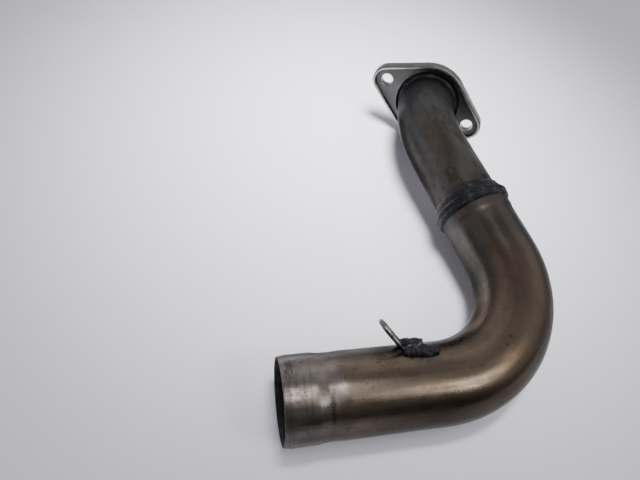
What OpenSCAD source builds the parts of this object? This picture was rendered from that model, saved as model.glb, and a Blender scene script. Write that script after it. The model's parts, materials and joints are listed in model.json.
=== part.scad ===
// Motorcycle exhaust header pipe, lying on a bench as it comes to rest.
// Origin: centre of the outlet mouth. +X runs into the outlet leg, +Y lies towards
// the flange end and +Z is up.

/* [Main tube] */
// Outside diameter of the main tube
main_od = 45; // [38:0.5:52]
// Wall of the main tube
main_wall = 1.5; // [1.2:0.1:2]
// Straight outlet leg, from the mouth to the bend
outlet_leg = 87.5; // [84:0.5:120]
// Centre-line radius of the big bend
main_bend_r = 62; // [50:1:80]
// Angle of the big bend
main_bend = 102; // [80:1:115]
// Straight from the big bend to the lip under the step weld
main_tail = 37.5; // [34:0.5:60]
// How far the belled lip that takes the inlet tube stands out of the tube, on the radius
lip_proud = 0.5; // [0.2:0.05:0.8]
// Length of the belled lip
lip_len = 11; // [5:0.5:14]

/* [Sized outlet end] */
// How far the sized end that slides into the next pipe stands out of the tube, on the radius
slip_proud = 0.45; // [0:0.05:1]
// Length of the sized end that is held to that diameter
slip_len = 16; // [10:0.5:24]
// Length of the lead-in at the rim
rim_lead = 5; // [2:0.5:7]
// How much the rim is drawn in, on the radius
rim_pinch = 0.45; // [0.1:0.05:0.8]
// How far the neck behind the sized end is drawn in, on the radius
neck_sink = 0.3; // [0:0.05:0.7]
// Length of the neck
neck_len = 3; // [1:0.5:6]
// Length of each slope on the two sides of the neck
neck_slope = 7; // [3:0.5:9]

/* [Inlet tube] */
// Wall of the inlet tube
inlet_wall = 1.5; // [1.2:0.1:2]
// Gap on the radius between the inlet tube and the bore of the main tube
socket_gap = 0.2; // [0.1:0.05:0.5]
// How far the inlet tube reaches into the main tube
socket_depth = 18; // [16:0.5:22]
// Straight from the main tube's lip to the inlet bend
inlet_lead = 47; // [30:0.5:70]
// Centre-line radius of the inlet bend
inlet_bend_r = 78; // [60:1:100]
// Angle of the inlet bend
inlet_bend = 44; // [20:1:60]
// Turn between the planes of the two bends, about the tube
bend_twist = -155; // [-180:1:-135]
// Straight from the inlet bend to the gasket face
inlet_end = 10.5; // [10:0.5:24]

/* [Seal collar] */
// Thickness of the collar's lip
collar_lip = 3.4; // [2.5:0.1:5]
// How far the collar's lip stands out of the collar, on the radius
collar_lip_w = 2.3; // [1.5:0.1:3]
// Wall of the collar over the inlet tube
collar_wall = 2.9; // [2:0.1:4]
// Length of the collar, from the gasket face
collar_len = 7.2; // [6:0.1:9]
// Gap on the radius between the collar and the flange's hole
collar_gap = 0.3; // [0.1:0.05:0.6]
// Gap along the axis between the collar's lip and the flange's recess
seat_gap = 0.2; // [0.1:0.05:0.6]
// Thickness of the stop that the tube's end butts against
collar_stop = 1.5; // [1:0.1:2.5]
// How far the gasket face stands out of the flange
gasket_proud = 1; // [0.5:0.1:2]

/* [Stud flange] */
// Distance between the two stud holes
stud_spacing = 72; // [66:0.5:80]
// Diameter of a stud hole
stud_hole = 9.3; // [8:0.1:11]
// Width of the flange round its middle hole
hub_web = 5.5; // [4.5:0.5:8]
// Radius of the flange outline round a stud hole
ear_r = 11; // [9:0.5:14]
// Thickness of the flange's floor
floor_t = 7; // [5:0.5:9]
// Depth of the flange at its raised edge
flange_depth = 9; // [7.5:0.5:12]
// Width of the raised edge
edge_w = 2.4; // [1.8:0.1:3]
// How far the stud holes are turned from the plane of the inlet bend
stud_clock = -9; // [-30:1:30]

/* [Spring hook] */
// Diameter of the hook's wire
wire_od = 2.8; // [2:0.1:3.5]
// Distance between the centres of the hook's two legs
hook_span = 9.8; // [8:0.2:13]
// Length of each leg that lies along the tube
hook_leg = 11; // [8:0.5:14]
// Length of the raised straight of the loop
hook_rise = 10.5; // [6:0.5:13]
// Angle at which the loop stands up from the tube
hook_angle = 52; // [30:1:70]
// Radius of the wire where it turns up
hook_bend_r = 3.5; // [2.5:0.5:6]
// How far the hook's turn-up lies before the big bend
hook_back = 21; // [20:0.5:35]
// Place of the hook round the tube, from the inside of the big bend
hook_clock = 41; // [0:1:90]
// Skew of the hook across the tube
hook_skew = 7; // [0:1:15]

/* [Welds] */
// Width of the step weld on the main tube
step_main_w = 6; // [4:0.5:8]
// Width of the step weld on the inlet tube
step_inlet_w = 7.5; // [4:0.5:9]
// Height of the step weld over the tubes
step_h = 2.2; // [1.5:0.1:3.5]
// Leg of the weld behind the seal collar
collar_weld_leg = 2.3; // [1.5:0.1:2.8]
// Radius of the lumps of weld along the hook's legs
lump_r = 3.3; // [2.8:0.1:4]

/* [Hidden] */

steel_brown = [0.44, 0.39, 0.33];
steel_dark = [0.34, 0.31, 0.29];
weld_black = [0.16, 0.17, 0.18];
flange_grey = [0.52, 0.52, 0.49];
wire_grey = [0.55, 0.52, 0.50];

main_r = main_od / 2;
slip_r = main_r + slip_proud;
neck_r = main_r - neck_sink;
lip_r = main_r + lip_proud;
inlet_r = main_r - main_wall - socket_gap;
collar_r = inlet_r + collar_wall;
collar_lip_r = collar_r + collar_lip_w;
flange_hole_r = collar_r + collar_gap;
hub_r = flange_hole_r + hub_web;
stud_half = stud_spacing / 2;
wire_r = wire_od / 2;
hook_x = outlet_leg - hook_back;

// One overrun for every cut, and a hair that keeps near faces apart
over = 1;
hair = 0.01;

// How far a straight of tube reaches into the bend that it runs on from
lap = 0.5;

// The hook's wire is drawn thinner where it bends, and its straights lap into the bends
wire_draw = 0.05;
wire_lap = 0.25;

// Small radii and chamfers
lip_slope = 2.5;
edge_round = 0.8;
rim_round = 1;
hole_chamfer = 0.4;
collar_chamfer = 0.6;
recess_gap = 0.4;

// Facets of the round solids, the flange's outline and the weld rings
round_fn = 96;
outline_fn = 64;
rounding_steps = 4;
weld_steps = 96;
weld_arc_steps = 14;
fillet_arc_steps = 5;

// Smooth slope from one radius to the other, as the share t runs from 0 to 1
function blend(a, b, t) = a + (b - a) * (1 - cos(180 * t)) / 2;
slope_steps = 5;
function slope(s0, length, a, b) =
    [for (i = [0 : slope_steps]) [blend(a, b, i / slope_steps), s0 + length * i / slope_steps]];

// Radius against distance from the mouth, along the outlet leg; only the outside is drawn
// in at the rim
neck_start = slip_len + neck_slope;
neck_end = neck_start + neck_len;
function leg_outline(pinch) = concat(
    slope(0, rim_lead, slip_r - pinch, slip_r),
    slope(slip_len, neck_slope, slip_r, neck_r),
    slope(neck_end, neck_slope, neck_r, main_r),
    [[main_r, outlet_leg + lap]]);

// Radius against distance from the big bend, along the tail and its belled lip
function tail_outline() = concat(
    [[main_r, -lap]],
    slope(main_tail - lip_len - lip_slope, lip_slope, main_r, lip_r),
    [[lip_r, main_tail]]);

function reversed(v) = [for (i = [len(v) - 1 : -1 : 0]) v[i]];
function inset(v, wall) = [for (p = v) [p[0] - wall, p[1]]];

// A turned sleeve along +X between two outlines of [radius, distance] points
module sleeve(outside, inside) {
    rotate([0, 90, 0])
        rotate_extrude($fn = round_fn)
            polygon(concat(outside, reversed(inside)));
}

// A straight tube along +X
module straight_tube(length, r, wall) {
    ends = [[r, 0], [r, length]];
    sleeve(ends, inset(ends, wall));
}

// A bent tube that starts along +X and turns towards +Y, a hair thinner than the
// straights that lap its ends
module bent_tube(bend_r, angle, r, wall) {
    translate([0, bend_r, 0])
        rotate([0, 0, -90])
            rotate_extrude(angle = angle, $fn = round_fn)
                translate([bend_r, 0])
                    difference() {
                        circle(r - hair, $fn = round_fn);
                        circle(r - wall + hair, $fn = round_fn);
                    }
}

// Steps along the centre line: past a straight, past a bend
module past(length) {
    translate([length, 0, 0]) children();
}

module past_bend(bend_r, angle) {
    translate([0, bend_r, 0])
        rotate([0, 0, angle])
            translate([0, -bend_r, 0]) children();
}

// The gasket face on the centre line, and the way it looks, before the pipe leans over
function turn_z(angle) = [cos(angle), sin(angle), 0];
tail_way = turn_z(main_bend);
twist_way = turn_z(main_bend + 90) * cos(bend_twist) + [0, 0, sin(bend_twist)];
face_way = tail_way * cos(inlet_bend) + twist_way * sin(inlet_bend);
face_at = [outlet_leg, main_bend_r, 0] + main_bend_r * turn_z(main_bend - 90)
    + (main_tail + inlet_lead) * tail_way
    + inlet_bend_r * (sin(inlet_bend) * tail_way + (1 - cos(inlet_bend)) * twist_way)
    + inlet_end * face_way;

// Lean of the pipe about its outlet leg, at which the flange comes down on the bench
function height(p, lean) = p[1] * sin(lean) + p[2] * cos(lean);
edge_at = face_at - (gasket_proud + edge_round) * face_way;
function flange_low(lean) =
    height(edge_at, lean) - (hub_r - edge_round) * sqrt(1 - pow(height(face_way, lean), 2)) - edge_round;
function settle(low, high, turns) = let (mid = (low + high) / 2)
    turns == 0 ? mid
    : flange_low(mid) > -slip_r ? settle(low, mid, turns - 1)
    : settle(mid, high, turns - 1);
lean_low = -20;
lean_high = 40;
lean_turns = 30;
lean = settle(lean_low, lean_high, lean_turns);

// Frames that the pieces are built in
module on_bench() {
    rotate([lean, 0, 0]) children();
}

module at_tail() {
    on_bench() past(outlet_leg) past_bend(main_bend_r, main_bend) children();
}

module at_lip() {
    at_tail() past(main_tail) children();
}

module at_inlet_bend() {
    at_lip() past(inlet_lead) rotate([bend_twist, 0, 0]) children();
}

module at_gasket_face() {
    at_inlet_bend() past_bend(inlet_bend_r, inlet_bend) past(inlet_end) children();
}

// Main tube: sized end, outlet leg, big bend, tail and belled lip
module main_tube() {
    color(steel_brown) union() {
        on_bench() sleeve(leg_outline(rim_pinch), inset(leg_outline(0), main_wall));
        on_bench() past(outlet_leg) bent_tube(main_bend_r, main_bend, main_r, main_wall);
        at_tail() sleeve(tail_outline(), inset(tail_outline(), main_wall));
    }
}

// Inlet tube: from inside the main tube to the collar's stop
module inlet_tube() {
    color(steel_dark) union() {
        at_lip() past(-socket_depth)
            straight_tube(socket_depth + inlet_lead + lap, inlet_r, inlet_wall);
        at_inlet_bend() bent_tube(inlet_bend_r, inlet_bend, inlet_r, inlet_wall);
        at_gasket_face() past(-inlet_end - lap)
            straight_tube(lap + inlet_end - collar_stop, inlet_r, inlet_wall);
    }
}

// A closed ring of weld about +X from one row of [distance, radius] points for each step
module weld_ring(rows) {
    count = len(rows);
    size = len(rows[0]);
    points = [for (i = [0 : count - 1]) for (p = rows[i])
        let (angle = 360 * i / count) [p[0], p[1] * cos(angle), p[1] * sin(angle)]];
    faces = [for (i = [0 : count - 1]) for (j = [0 : size - 1])
        let (a = i * size, b = (i + 1) % count * size, k = (j + 1) % size)
        each [[a + j, b + k, a + k], [a + j, b + j, b + k]]];
    polyhedron(points, faces);
}

// Radius of a faceted ring that just clears a round tube
function clear_of(r) = (r + hair) / cos(180 / weld_steps);

// Wander and swell of a bead, as shares, against the angle round the tube
function swell_share(a) = 1 + 0.13 * sin(5 * a + 40) + 0.1 * sin(11 * a) + 0.07 * sin(23 * a + 70);
function wander_share(a) = 0.03 * sin(a + 200) + 0.02 * sin(4 * a) + 0.015 * sin(13 * a + 30);

// Step weld over the main tube's lip and down on to the inlet tube, laid in three passes.
// The shares give each pass's middle and half width across the weld, its height, and how
// far round the tube its own swell starts
pass_middle_share = [0.31, 0.62, 0.82];
pass_half_share = [0.31, 0.17, 0.18];
pass_height_share = [1, 0.92, 0.72];
pass_turn_share = [0, 0.36, 0.69];

function pass_height(t, a, i) = let (
        turned = a + 360 * pass_turn_share[i],
        off = (t - pass_middle_share[i] - wander_share(turned)) / pass_half_share[i])
    abs(off) >= 1 ? 0
    : step_h * pass_height_share[i] * swell_share(turned) * sqrt(1 - off * off);

// The share t runs from the inlet tube's side to the main tube's
function step_row(a) = let (
        r0 = clear_of(lip_r),
        r1 = clear_of(inlet_r))
    concat(
        [[0, r0], [0, r1]],
        [for (i = [0 : weld_arc_steps]) let (
                t = i / weld_arc_steps,
                x = step_inlet_w - (step_inlet_w + step_main_w) * t,
                under = x > 0 ? blend(r0, r1, min(1, x / (lip_r - inlet_r))) : r0)
            [x, under + max([for (k = [0 : len(pass_turn_share) - 1]) pass_height(t, a, k)])]]);

module step_weld() {
    color(weld_black) at_lip()
        weld_ring([for (i = [0 : weld_steps - 1]) step_row(360 * i / weld_steps)]);
}

// Fillet of weld in the corner between the inlet tube and the back of the collar
function fillet_row(a) = let (
        r1 = clear_of(inlet_r),
        leg = collar_weld_leg * (1 + (swell_share(a) - 1) / 2))
    concat(
        [[-collar_len - hair, r1]],
        [for (i = [0 : fillet_arc_steps]) let (t = i / fillet_arc_steps, bulge = sin(180 * t) * leg / 8)
            [-collar_len - hair - leg * t - bulge, r1 + leg * (1 - t) + bulge]]);

module collar_weld() {
    color(weld_black) at_gasket_face()
        weld_ring([for (i = [0 : weld_steps - 1]) fillet_row(360 * i / weld_steps)]);
}

// Turned collar on the inlet tube's end, with the lip that the flange pulls on
module seal_collar() {
    color(steel_dark) at_gasket_face()
        rotate([0, -90, 0])
            rotate_extrude($fn = round_fn)
                polygon([
                    [inlet_r - inlet_wall, 0],
                    [collar_lip_r - collar_chamfer, 0],
                    [collar_lip_r, collar_chamfer],
                    [collar_lip_r, collar_lip],
                    [collar_r, collar_lip],
                    [collar_r, collar_len - collar_chamfer],
                    [collar_r - collar_chamfer, collar_len],
                    [inlet_r, collar_len],
                    [inlet_r, collar_stop],
                    [inlet_r - inlet_wall, collar_stop]]);
}

// Quarter round from the side of a disc to its end, as [radius, height] points
function quarter(r, z, round, way) =
    [for (i = [0 : rounding_steps]) let (angle = 90 * i / rounding_steps)
        [r - round + round * cos(angle), z + way * round * sin(angle)]];

// A disc with rounded rims, for one of the three rounds of the flange's outline
module rounded_disc(r) {
    rotate_extrude($fn = outline_fn)
        polygon(concat(
            [[0, flange_depth], [0, 0]],
            reversed(quarter(r, edge_round, edge_round, -1)),
            quarter(r, flange_depth - rim_round, rim_round, 1)));
}

// A plug that flares at its mouth, for one of the three rounds of the pocket
module pocket_plug(r) {
    rotate_extrude($fn = outline_fn)
        polygon(concat(
            [[0, flange_depth + over], [0, floor_t], [r, floor_t]],
            [for (i = [0 : rounding_steps]) let (angle = 90 * i / rounding_steps)
                [r + rim_round * (1 - cos(angle)), flange_depth - rim_round * (1 - sin(angle))]],
            [[r + rim_round, flange_depth + over]]));
}

// Loose two-stud flange; z = 0 is the face towards the engine, +Z the tube's side
recess_depth = collar_lip + seat_gap - gasket_proud;

module chamfered_hole(r) {
    translate([0, 0, -over])
        cylinder(r = r, h = flange_depth + 2 * over, $fn = round_fn);
    translate([0, 0, floor_t - hole_chamfer])
        cylinder(r1 = r, r2 = r + hole_chamfer + over, h = hole_chamfer + over, $fn = round_fn);
}

module flange_body() {
    difference() {
        hull() {
            rounded_disc(hub_r);
            translate([stud_half, 0, 0]) rounded_disc(ear_r);
            translate([-stud_half, 0, 0]) rounded_disc(ear_r);
        }
        hull() {
            pocket_plug(hub_r - edge_w);
            translate([stud_half, 0, 0]) pocket_plug(ear_r - edge_w);
            translate([-stud_half, 0, 0]) pocket_plug(ear_r - edge_w);
        }
        chamfered_hole(flange_hole_r);
        translate([stud_half, 0, 0]) chamfered_hole(stud_hole / 2);
        translate([-stud_half, 0, 0]) chamfered_hole(stud_hole / 2);
        translate([0, 0, -over])
            cylinder(r = collar_lip_r + recess_gap, h = recess_depth + over, $fn = round_fn);
    }
}

module stud_flange() {
    color(flange_grey) at_gasket_face()
        past(-gasket_proud)
            rotate([stud_clock, 0, 0])
                rotate([0, -90, 0])
                    rotate([0, 0, 90]) flange_body();
}

// Frame of the hook: +X along its legs, +Y out of the tube, +Z from leg to leg; the skewed
// legs lie as low as the one that crosses nearer to the tube's crown lets them
leg_off_crown = max(0, hook_span / 2 * cos(hook_skew) - hook_leg * sin(hook_skew));
leg_height = sqrt(pow(main_r + wire_r + hair, 2) - pow(leg_off_crown, 2));

module at_hook() {
    on_bench() past(hook_x)
        rotate([hook_clock, 0, 0])
            rotate([0, -hook_skew, 0]) children();
}

module rod(length, r) {
    rotate([0, 90, 0]) cylinder(r = r, h = length, $fn = round_fn);
}

// A bend of the wire in the XY plane
module wire_bend(bend_r, angle) {
    rotate_extrude(angle = angle, $fn = round_fn)
        translate([bend_r, 0]) circle(wire_r - wire_draw, $fn = round_fn);
}

// One half of the wire, on the +Z or -Z side: a leg on the tube, the turn-up and the
// raised straight
module half_hook(side) {
    translate([0, leg_height, side * hook_span / 2]) {
        past(-wire_lap) rod(wire_lap + hook_leg, wire_r);
        translate([0, hook_bend_r, 0])
            rotate([0, 0, -90 - hook_angle]) wire_bend(hook_bend_r, hook_angle);
        past_turn_up() past(-wire_lap) rod(hook_rise + 2 * wire_lap, wire_r);
    }
}

// The end of the turn-up, looking along the raised straight
module past_turn_up() {
    translate([-hook_bend_r * sin(hook_angle), hook_bend_r * (1 - cos(hook_angle)), 0])
        rotate([0, 0, 180 - hook_angle]) children();
}

module spring_hook() {
    color(wire_grey) at_hook() {
        half_hook(1);
        half_hook(-1);
        translate([0, leg_height, 0]) past_turn_up() past(hook_rise)
            rotate([90, 0, 0]) rotate([0, 0, -90]) wire_bend(hook_span / 2, 180);
    }
}

// Lumps of weld that hold the leg on the +Z or -Z side: the shares give each lump's place
// along the leg and its radius
module hook_weld(side, place_share, size_share) {
    color(weld_black) difference() {
        at_hook() for (i = [0 : len(place_share) - 1])
            translate([hook_leg * place_share[i], leg_height - wire_r, side * hook_span / 2])
                sphere(lump_r * size_share[i], $fn = round_fn);
        on_bench() past(hook_x - outlet_leg) rod(2 * outlet_leg, main_r);
        at_hook() half_hook(side);
    }
}

upper_place_share = [0.04, 0.24, 0.45, 0.64, 0.8];
upper_size_share = [0.88, 1, 0.95, 1, 0.82];
lower_place_share = [0.06, 0.28, 0.52, 0.76, 1, 1.2, 1.36];
lower_size_share = [0.95, 1.12, 1.03, 1.15, 1.06, 0.98, 0.8];

module hook_weld_upper() {
    hook_weld(-1, upper_place_share, upper_size_share);
}

module hook_weld_lower() {
    hook_weld(1, lower_place_share, lower_size_share);
}

main_tube();
inlet_tube();
step_weld();
seal_collar();
collar_weld();
stud_flange();
spring_hook();
hook_weld_upper();
hook_weld_lower();
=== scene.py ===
"""Motorcycle exhaust header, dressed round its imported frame.

The pipe lies on a pale bench under soft light, seen from above its outlet mouth. Lengths are in metres and
angles in degrees. The frame is the part's own: the origin is the centre of the outlet mouth, +X runs into the
outlet leg, +Y lies towards the flange and +Z is up.
"""

import json
import logging
import math
from collections.abc import Sequence
from dataclasses import dataclass, field
from enum import Enum
from typing import NamedTuple

import bmesh
import bpy
import numpy as np
from mathutils import Matrix, Vector, geometry


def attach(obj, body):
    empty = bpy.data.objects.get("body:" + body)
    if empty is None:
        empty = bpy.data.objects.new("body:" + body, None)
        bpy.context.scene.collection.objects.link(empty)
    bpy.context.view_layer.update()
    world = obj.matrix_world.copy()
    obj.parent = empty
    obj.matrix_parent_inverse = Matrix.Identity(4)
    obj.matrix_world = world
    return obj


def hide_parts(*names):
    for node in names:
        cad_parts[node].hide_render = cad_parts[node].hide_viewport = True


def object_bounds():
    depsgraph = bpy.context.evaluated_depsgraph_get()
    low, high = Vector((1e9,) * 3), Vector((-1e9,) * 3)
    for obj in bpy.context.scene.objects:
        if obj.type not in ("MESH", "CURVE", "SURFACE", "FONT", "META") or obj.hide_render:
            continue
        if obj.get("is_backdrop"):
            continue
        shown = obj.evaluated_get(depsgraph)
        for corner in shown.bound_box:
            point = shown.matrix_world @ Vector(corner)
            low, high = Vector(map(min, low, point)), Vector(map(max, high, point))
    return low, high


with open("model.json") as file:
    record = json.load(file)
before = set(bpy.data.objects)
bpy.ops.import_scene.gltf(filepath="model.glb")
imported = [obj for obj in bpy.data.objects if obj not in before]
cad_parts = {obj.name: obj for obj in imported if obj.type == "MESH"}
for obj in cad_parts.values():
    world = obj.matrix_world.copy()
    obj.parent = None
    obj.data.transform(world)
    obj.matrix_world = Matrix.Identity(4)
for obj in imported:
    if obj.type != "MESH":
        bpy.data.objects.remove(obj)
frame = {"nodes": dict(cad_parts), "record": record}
CAD_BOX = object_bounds()

LOG = logging.getLogger("exhaust_header")
MM = 0.001
Colour = tuple[float, float, float]
Stops = tuple[tuple[float, Colour], ...]


class Body(Enum):
    """The two bodies that the pieces ride on."""

    PIPE = "pipe"
    FLANGE = "flange"


class Slot(Enum):
    """The record's material slots, one named for each detailed piece."""

    MAIN_STEEL = "main_steel"
    INLET_STEEL = "inlet_steel"
    FLANGE_STEEL = "flange_steel"
    WELD_SCALE = "weld_scale"
    HOOK_WIRE = "hook_wire"


class Axis(Enum):
    """The axes that a frame is turned about."""

    X = "X"
    Y = "Y"
    Z = "Z"


def turned(angle: float, axis: Axis) -> Matrix:
    """Give the 4x4 matrix of a turn about an axis."""
    return Matrix.Rotation(math.radians(angle), 4, axis.value)


def moved(x: float = 0.0, y: float = 0.0, z: float = 0.0) -> Matrix:
    """Give the 4x4 matrix of a shift by x, y and z."""
    return Matrix.Translation((x, y, z))


@dataclass(frozen=True)
class Straight:
    """A straight run of tube."""

    length: float

    def at(self, s: float) -> Matrix:
        """Give the frame at the distance s along the run."""
        return moved(x=s)


@dataclass(frozen=True)
class Bend:
    """A bent run of tube that turns from +X towards +Y."""

    radius: float
    angle: float

    @property
    def length(self) -> float:
        """Length of the centre line."""
        return self.radius * math.radians(self.angle)

    def at(self, s: float) -> Matrix:
        """Give the frame at the distance s along the run."""
        turn = math.degrees(s / self.radius)
        return moved(y=self.radius) @ turned(turn, Axis.Z) @ moved(y=-self.radius)


class Route:
    """Centre line of a tube, as runs that follow each other."""

    def __init__(self, start: Matrix, runs: Sequence[Straight | Bend]) -> None:
        """Keep the runs and the frame that each of them starts from.

        Args:
            start: Frame of the route's start, with +X along the tube.
            runs: The straights and bends, in order.
        """
        self.runs = list(runs)
        self.starts = [start]
        for run in self.runs:
            self.starts.append(self.starts[-1] @ run.at(run.length))

    @property
    def length(self) -> float:
        """Length of the whole centre line."""
        return sum(run.length for run in self.runs)

    @property
    def end(self) -> Matrix:
        """Frame of the route's end."""
        return self.starts[-1]

    def at(self, s: float) -> Matrix:
        """Give the frame at a distance along the route.

        Args:
            s: Distance from the start.

        Returns:
            The 4x4 frame, with +X along the tube.
        """
        left = s
        for start, run in zip(self.starts, self.runs):
            if left <= run.length or run is self.runs[-1]:
                return start @ run.at(left)
            left -= run.length
        return self.end


@dataclass(frozen=True)
class Pipework:
    """Driving sizes of the tubes, and the frames along them."""

    main_r: float = 22.5 * MM
    wall: float = 1.5 * MM
    outlet_leg: float = 87.5 * MM
    main_bend: Bend = Bend(62 * MM, 102)
    main_tail: float = 37.5 * MM
    lip_r: float = 23.0 * MM
    lip_len: float = 11 * MM
    lip_slope: float = 2.5 * MM
    inlet_r: float = 20.8 * MM
    socket_depth: float = 18 * MM
    inlet_lead: float = 47 * MM
    inlet_bend: Bend = Bend(78 * MM, 44)
    bend_twist: float = -155
    inlet_end: float = 10.5 * MM
    collar_stop: float = 1.5 * MM

    @property
    def lean(self) -> float:
        """Lean of the pipe about its outlet leg, worked out from the way that the gasket face looks.

        Returns:
            The angle.
        """
        mount = next(m for m in frame["record"]["mounts"] if m["name"] == "gasket_face")
        looks = Vector(mount["axis"])
        flat = (self.route(Matrix.Identity(4)).end @ self.inlet_turns()).to_3x3() @ Vector((1, 0, 0))
        return math.degrees(math.atan2(looks.z, looks.y) - math.atan2(flat.z, flat.y))

    def inlet_turns(self) -> Matrix:
        """Give the turns of the inlet tube, from the lip to its end."""
        return turned(self.bend_twist, Axis.X) @ turned(self.inlet_bend.angle, Axis.Z)

    def route(self, start: Matrix) -> Route:
        """Give the main tube's centre line from its start frame."""
        return Route(start, [Straight(self.outlet_leg), self.main_bend, Straight(self.main_tail)])

    def main(self) -> Route:
        """Give the main tube's centre line as the pipe lies on the bench."""
        return self.route(turned(self.lean, Axis.X))

    def inlet(self) -> Route:
        """Give the inlet tube's centre line.

        Returns:
            The route from the tube's end in the main tube to the collar's stop.
        """
        start = self.main().end @ moved(x=-self.socket_depth) @ turned(self.bend_twist, Axis.X)
        lead = Straight(self.socket_depth + self.inlet_lead)
        return Route(start, [lead, self.inlet_bend, Straight(self.inlet_end - self.collar_stop)])

    def gasket_face(self) -> Matrix:
        """Give the frame at the gasket face, with +X towards the engine."""
        return self.inlet().end @ moved(x=self.collar_stop)


# Meshes


def laid(points: np.ndarray, at: Matrix) -> np.ndarray:
    """Carry points of any shape (..., 3) into a frame."""
    matrix = np.array(at)
    return points @ matrix[:3, :3].T + matrix[:3, 3]


def round_points(angles: np.ndarray, x: np.ndarray | float, r: np.ndarray | float) -> np.ndarray:
    """Give the points at the distance x along a tube and the radius r, at each angle in radians."""
    return np.stack([np.broadcast_to(x, angles.shape), r * np.cos(angles), r * np.sin(angles)], axis=-1)


def linked(name: str, mesh: bpy.types.Mesh) -> bpy.types.Object:
    """Put a mesh in the scene, at the origin.

    Args:
        name: Name of the object.
        mesh: Its mesh.

    Returns:
        The new object.
    """
    piece = bpy.data.objects.new(name, mesh)
    bpy.context.scene.collection.objects.link(piece)
    return piece


def grid_mesh(
    name: str,
    rows: np.ndarray,
    straight: np.ndarray | None = None,
    join_rows: bool = False,
    slots: np.ndarray | None = None,
) -> bpy.types.Object:
    """Make a mesh of quads from rings of points.

    Args:
        name: Name of the piece.
        rows: Points, as rows of closed rings, in the shape (rows, around, 3).
        straight: Each point as it would lie on the tube unbent, which the finishes read.
        join_rows: Whether the last ring joins the first.
        slots: Material slot of each row of faces.

    Returns:
        The new object, at the origin.
    """
    count, around = rows.shape[:2]
    index = np.arange(count * around).reshape(count, around)
    below = index if join_rows else index[:-1]
    above = np.roll(index, -1, axis=0) if join_rows else index[1:]
    quads = np.stack([below, above, np.roll(above, -1, axis=1), np.roll(below, -1, axis=1)], axis=-1)
    mesh = bpy.data.meshes.new(name)
    mesh.from_pydata(rows.reshape(-1, 3).tolist(), [], quads.reshape(-1, 4).tolist())
    mesh.shade_smooth()
    if straight is not None:
        made = mesh.attributes.new("straight", "FLOAT_VECTOR", "POINT")
        made.data.foreach_set("vector", straight.astype(np.float32).ravel())
    if slots is not None:
        mesh.polygons.foreach_set("material_index", np.repeat(slots, around).astype(np.int32))
    mesh.update()
    return linked(name, mesh)


def turned_rings(
    route: Route, outline: Sequence[tuple[float, float]], around: int
) -> tuple[np.ndarray, np.ndarray]:
    """Carry a turned outline along a route.

    Args:
        route: Centre line.
        outline: Points of (distance along the route, radius).
        around: Points in each ring.

    Returns:
        The rings as they lie, and as they would lie on the tube unbent.
    """
    angles = np.linspace(0, math.tau, around, endpoint=False)
    lie = [laid(round_points(angles, 0.0, r), route.at(s)) for s, r in outline]
    straight = [round_points(angles, s, r) for s, r in outline]
    return np.array(lie), np.array(straight)


def eased(a: float, b: float, share: float) -> float:
    """Blend smoothly from a to b as the share runs from 0 to 1."""
    return a + (b - a) * (1 - math.cos(math.pi * min(1, max(0, share)))) / 2


class Unevenness:
    """Smooth lumps without a pattern: a sum of waves that run every way."""

    WAVES = 30
    SHORTEST = 0.7
    LONGEST = 1.6

    def __init__(self, size: float, seed: int) -> None:
        """Draw the waves.

        Args:
            size: Length of a lump and the hollow beside it.
            seed: Seed of the draw.
        """
        draw = np.random.default_rng(seed)
        ways = draw.normal(size=(self.WAVES, 3))
        ways /= np.linalg.norm(ways, axis=1, keepdims=True)
        lengths = size * draw.uniform(self.SHORTEST, self.LONGEST, (self.WAVES, 1))
        self.ways = ways * (math.tau / lengths)
        self.starts = draw.uniform(0, math.tau, self.WAVES)

    def at(self, points: np.ndarray) -> np.ndarray:
        """Give the height at each point, mostly between -1 and 1."""
        return np.sin(points @ self.ways.T + self.starts).sum(axis=-1) * math.sqrt(2 / self.WAVES) / 2


class Lumps(NamedTuple):
    """Unevenness of a surface: its height, the length of a lump and the seed of the draw."""

    height: float
    size: float
    seed: int


def lumpy(points: np.ndarray, layers: Sequence[Lumps]) -> np.ndarray:
    """Give the height of an uneven surface at each point, in metres.

    Args:
        points: The points, in the shape (..., 3).
        layers: The lumps that are laid over each other.

    Returns:
        The heights.
    """
    return sum(layer.height * Unevenness(layer.size, layer.seed).at(points) for layer in layers)


# Finishes


class Grain(NamedTuple):
    """Noise: its features in a metre along each axis, its finer layers and how strongly they carry on."""

    features: tuple[float, float, float]
    layers: float = 3
    carry: float = 0.6


def even(features: float, layers: float = 3, carry: float = 0.6) -> Grain:
    """Give noise that is alike along every axis."""
    return Grain((features, features, features), layers, carry)


class Ramp(NamedTuple):
    """A smooth ramp: the values that it starts and stops at, and what it gives at each of them."""

    start: float
    stop: float
    first: float = 0.0
    last: float = 1.0


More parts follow.
